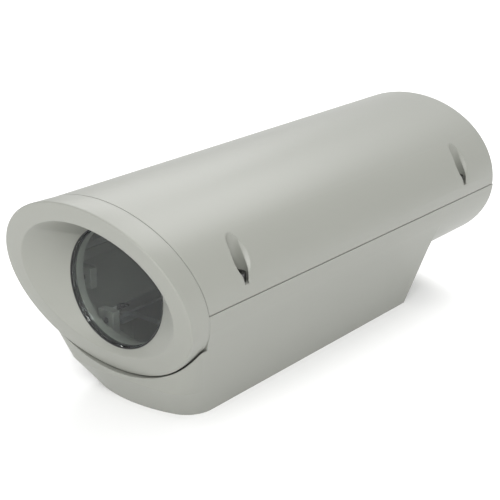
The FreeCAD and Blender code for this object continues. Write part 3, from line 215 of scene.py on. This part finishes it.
beyond, far_front, tall = 0.0200, -2 * rear_y, 2 * axis_z
well_sides, knuckle_sides = 96, 48


def block(x, y, z):
    """Adds a cube and stretches it between the given ends."""
    bpy.ops.mesh.primitive_cube_add(size=1)
    piece = bpy.context.object
    bpy.ops.object.mode_set(mode="EDIT")
    bpy.ops.transform.resize(value=(x[1] - x[0], y[1] - y[0], z[1] - z[0]), center_override=(0, 0, 0))
    bpy.ops.transform.translate(value=((x[0] + x[1]) / 2, (y[0] + y[1]) / 2, (z[0] + z[1]) / 2))
    bpy.ops.object.mode_set(mode="OBJECT")
    return piece


def bar(radius, middle, length, along="Z", vertices=64):
    """Adds a cylinder round the given middle, upright or along the tube."""
    bpy.ops.mesh.primitive_cylinder_add(vertices=vertices, radius=radius, depth=length)
    piece = bpy.context.object
    bpy.ops.object.mode_set(mode="EDIT")
    if along == "Y":
        bpy.ops.transform.rotate(value=pi / 2, orient_axis="X", center_override=(0, 0, 0))
    bpy.ops.transform.translate(value=middle)
    bpy.ops.object.mode_set(mode="OBJECT")
    return piece


def carve(piece, operation, *tools):
    """Joins the tools to the piece or cuts them out of it, one after the other."""
    for tool in tools:
        step = piece.modifiers.new("shape", "BOOLEAN")
        step.operation = operation
        step.solver = "EXACT"
        step.object = tool
        bpy.context.view_layer.objects.active = piece
        bpy.ops.object.modifier_apply(modifier=step.name)
        bpy.data.meshes.remove(tool.data)
    return piece


def closed_tube(name, half_x, half_z, rear, rounding, front, lean):
    """A solid elliptical bar along the tube: a rounded rear end and a leaned front."""
    stations = []
    for angle in (0, pi / 6, pi / 3, pi / 2) if rounding else (pi / 2,):
        inset = rounding * (1 - sin(angle))
        stations.append((half_x - inset, half_z - inset, rear - rounding * (1 - cos(angle)), 0, axis_z))
    stations.append((half_x, half_z / cos(lean), front, lean, axis_z))
    piece = oval_skin(name, stations, filled=True)
    bpy.ops.object.mode_set(mode="OBJECT")
    return piece


cover = closed_tube("cover_casting", half_width, half_height, rear_y, rear_round, cover_seam_y, seam_lean)
edit(cover)
bpy.ops.mesh.select_all(action="SELECT")
bpy.ops.mesh.bisect(plane_co=(0, 0, cover_z), plane_no=(0, 0, 1), use_fill=True, clear_inner=True)
bpy.ops.object.mode_set(mode="OBJECT")
room = closed_tube("cover_room", half_width - wall, half_height - wall, rear_y - end_wall, 0, far_front, 0)
low, high = cover_z - beyond, band_top
outside, inside = half_width + beyond, half_width - band_width
band = block((inside, outside), (far_front, rear_y + beyond), (low, high))
carve(band, "UNION", block((-outside, -inside), (far_front, rear_y + beyond), (low, high)),
      block((-outside, outside), (rear_y - band_width, rear_y + beyond), (low, high)),
      *[bar(band_pad, (lock_x, y, (low + high) / 2), high - low) for y in lock_places])
carve(band, "DIFFERENCE",
      block((-2 * outside, 2 * outside), (far_front - beyond, band_front), (0, tall)))
well_walls = [bar(well_wall_radius, (lock_x, y, tall), 2 * tall) for y in lock_places]
carve(room, "DIFFERENCE", band, *well_walls)
carve(cover, "DIFFERENCE", room)
ear_root = 2 * wall / 3 - half_width
for y in hinge_middles:
    middle, span = (hinge_x, y, hinge_z), (y - cover_knuckle, y + cover_knuckle)
    carve(cover, "UNION", bar(knuckle_radius, middle, 2 * cover_knuckle, "Y", knuckle_sides),
          block((hinge_x, ear_root), span, (cover_z, hinge_z + knuckle_radius)))
    carve(cover, "DIFFERENCE",
          bar(pin_radius + running_gap, middle, 2 * hinge_half_length, "Y", knuckle_sides))


def shift(piece, stretch=(1, 1, 1), turns=(), move=(0, 0, 0)):
    """Stretches a tool, turns it about the axes given and moves it to its place."""
    edit(piece)
    bpy.ops.mesh.select_all(action="SELECT")
    bpy.ops.transform.resize(value=stretch, center_override=(0, 0, 0))
    for axis, angle in turns:
        bpy.ops.transform.rotate(value=-angle, orient_axis=axis, center_override=(0, 0, 0))
    bpy.ops.transform.translate(value=move)
    bpy.ops.object.mode_set(mode="OBJECT")
    return piece


def skin_point(x):
    """Height of the tube's skin at a distance from its middle, and the slope there as an angle."""
    rise = half_height * sqrt(1 - (x / half_width) ** 2)
    return axis_z + rise, atan2(half_height ** 2 * x, half_width ** 2 * rise)


def lip_cone(y):
    """A flat oval cone over a well's mouth: it rolls the edge of the well outwards."""
    top_z, bottom_z = skin_point(lock_x - well_half_x)[0], skin_point(lock_x + well_half_x)[0]
    middle_z = (top_z + bottom_z) / 2
    lean = atan2(top_z - bottom_z, 2 * well_half_x)
    bulge = (skin_point(lock_x)[0] - middle_z) * cos(lean)
    out = bulge + cone_above - cone_height / 2
    top_radius = well_half_y + lip + cone_above
    bpy.ops.mesh.primitive_cone_add(vertices=well_sides, radius1=top_radius - cone_height,
                                    radius2=top_radius, depth=cone_height)
    return shift(bpy.context.object, (cone_stretch, 1, 1), [("Y", lean)],
                 (lock_x + out * sin(lean), y, middle_z + out * cos(lean)))


def lip_bar(y):
    """A square bar stood on edge along the drain's mouth: it bevels both sides of the slot."""
    middle_z = (seat_z + drain_top) / 2
    middle_x = half_width * sqrt(1 - ((middle_z - axis_z) / half_height) ** 2)
    lean = pi / 2 - skin_point(middle_x)[1]
    side = (-bar_diagonal / sqrt(2), bar_diagonal / sqrt(2))
    half_length = (drain_top - seat_z + bar_overhang) / 2
    out = bar_diagonal - drain_half_width - lip
    return shift(block(side, side, (-half_length, half_length)), turns=[("Z", pi / 4), ("Y", -lean)],
                 move=(middle_x + out * cos(lean), y, middle_z + bar_overhang / 2 + out * sin(lean)))


for y in lock_places:
    well = shift(bar(1, (0, 0, 0), tall, vertices=well_sides), (well_half_x, well_half_y, 1),
                 move=(lock_x, y - well_shift, seat_z + axis_z))
    drain = block((lock_x, outside), (y - drain_half_width, y + drain_half_width), (seat_z, drain_top))
    pass_hole = bar(pass_radius, (lock_x, y, seat_z), beyond)
    carve(cover, "DIFFERENCE", well, lip_cone(y), lip_bar(y), drain, pass_hole)
edit(cover)
finish_edit(cover)
cover.data.materials.append(powder)
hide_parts("upper_cover")
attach(cover, "cover")

# The window: a flat disc of clear float glass in a black rubber ring, pushed in from the front. Its
# two faces have an anti-reflection coating, so it mirrors less of the studio than bare glass does.
glass = bpy.data.materials.new("window_glass")
glass.use_nodes = True
pane = glass.node_tree.nodes["Principled BSDF"]
pane.inputs["Base Color"].default_value = (0.93, 0.98, 0.96, 1)
pane.inputs["Transmission Weight"].default_value = 1.0
pane.inputs["IOR"].default_value = 1.25
dust = node(glass.node_tree, "ShaderNodeTexNoise", Scale=40.0, Detail=6.0)
haze = node(glass.node_tree, "ShaderNodeMapRange", To_Min=0.0, To_Max=0.03)
glass.node_tree.links.new(dust.outputs["Fac"], haze.inputs["Value"])
glass.node_tree.links.new(haze.outputs["Result"], pane.inputs["Roughness"])

# What the castings carry: rubber seals, burnished and blackened screws, folded zinc-plated rails, a
# brushed tray, a gold anodised heater, moulded plastic glands, brass threads and a green board.
finishes = {
    "body_paint": powder,
    "window_glass": glass,
    "black_rubber": finish("black_rubber", (0.022, 0.022, 0.023), 0.72, scale=500.0, relief=0.1),
    "stainless_steel": finish("burnished_steel", (0.10, 0.10, 0.10), 0.42, 1.0, 220.0, (1, 1, 6),
                              relief=0.06),
    "sheet_steel": finish("zinc_plated_sheet", (0.42, 0.43, 0.44), 0.40, 1.0, 90.0, spread=0.15,
                          relief=0.03),
    "tray_aluminium": finish("brushed_aluminium", (0.46, 0.465, 0.47), 0.38, 1.0, 300.0, (8, 0.4, 8),
                             relief=0.08),
    "heater_aluminium": finish("gold_anodised_heater", (0.56, 0.40, 0.15), 0.38, 0.9, 260.0, relief=0.05),
    "screw_steel": finish("blackened_steel", (0.045, 0.045, 0.048), 0.55, 0.3, 240.0, relief=0.05),
    "black_plastic": finish("black_plastic", (0.026, 0.026, 0.028), 0.46, scale=420.0, relief=0.07),
    "grey_plastic": finish("grey_plastic", (0.20, 0.205, 0.21), 0.50, scale=420.0, relief=0.07),
    "board_laminate": finish("green_board", (0.02, 0.13, 0.05), 0.32, scale=120.0, spread=0.25,
                             relief=0.03),
    "block_plastic": finish("terminal_plastic", (0.05, 0.27, 0.11), 0.44, scale=380.0, relief=0.06),
    "brass": finish("turned_brass", (0.66, 0.49, 0.22), 0.30, 1.0, 240.0, (1, 1, 6), relief=0.05),
}
for subpart in frame["record"]["subparts"]:
    carried = frame["nodes"][subpart["node"]].data.materials
    carried.clear()
    carried.append(finishes[subpart["material_slot"]])

# The view of the photograph: in front of the window, to its right and a little above, with a long lens.
camera_data = bpy.data.cameras.new("camera")
camera_data.sensor_width = 36.0
camera_data.lens = 90.16
camera_data.clip_start = 0.01
camera = bpy.data.objects.new("camera", camera_data)
bpy.context.scene.collection.objects.link(camera)
camera.location = (0.4410, -0.5593, 0.3170)
camera.rotation_euler = (radians(90 - 19.858), 0, radians(38.565))
bpy.context.scene.camera = camera
bpy.context.scene.view_settings.view_transform = "Standard"

# The studio: a plain pale sheet under the housing, faintly lit through, an even sky and four square
# soft lamps: the strong one beside the camera, the others in front, behind on the left and above.
floor_side, floor_glow, sky_strength = 12, 0.06, 0.82
housing_middle, lamp_side = (0, 0, 0.08), 0.8
bpy.ops.mesh.primitive_plane_add(size=floor_side)
sheet = bpy.context.object
sheet.name = "floor"
pale = bpy.data.materials.new("pale_floor")
pale.use_nodes = True
paint = pale.node_tree.nodes["Principled BSDF"]
paint.inputs["Base Color"].default_value = (0.9, 0.9, 0.9, 1)
paint.inputs["Roughness"].default_value = 0.9
paint.inputs["Emission Color"].default_value = (1, 1, 1, 1)
paint.inputs["Emission Strength"].default_value = floor_glow
sheet.data.materials.append(pale)

sky = bpy.data.worlds.new("studio")
bpy.context.scene.world = sky
sky.use_nodes = True
sky.node_tree.nodes["Background"].inputs["Color"].default_value = (1, 1, 1, 1)
sky.node_tree.nodes["Background"].inputs["Strength"].default_value = sky_strength


def softbox(name, place, power):
    light = bpy.data.lights.new(name, "AREA")
    light.size = lamp_side
    light.energy = power
    lamp = bpy.data.objects.new(name, light)
    bpy.context.scene.collection.objects.link(lamp)
    lamp.location = place
    lamp.rotation_euler = (Vector(housing_middle) - Vector(place)).to_track_quat("-Z", "Y").to_euler()


softbox("right_front", (0.9, -1.1, 1.0), 18.0)
softbox("front", (0.0, -1.6, 0.5), 4.3)
softbox("left_rear", (-0.9, 0.9, 1.0), 5.1)
softbox("rear_top", (0.0, 0.9, 1.2), 8.5)
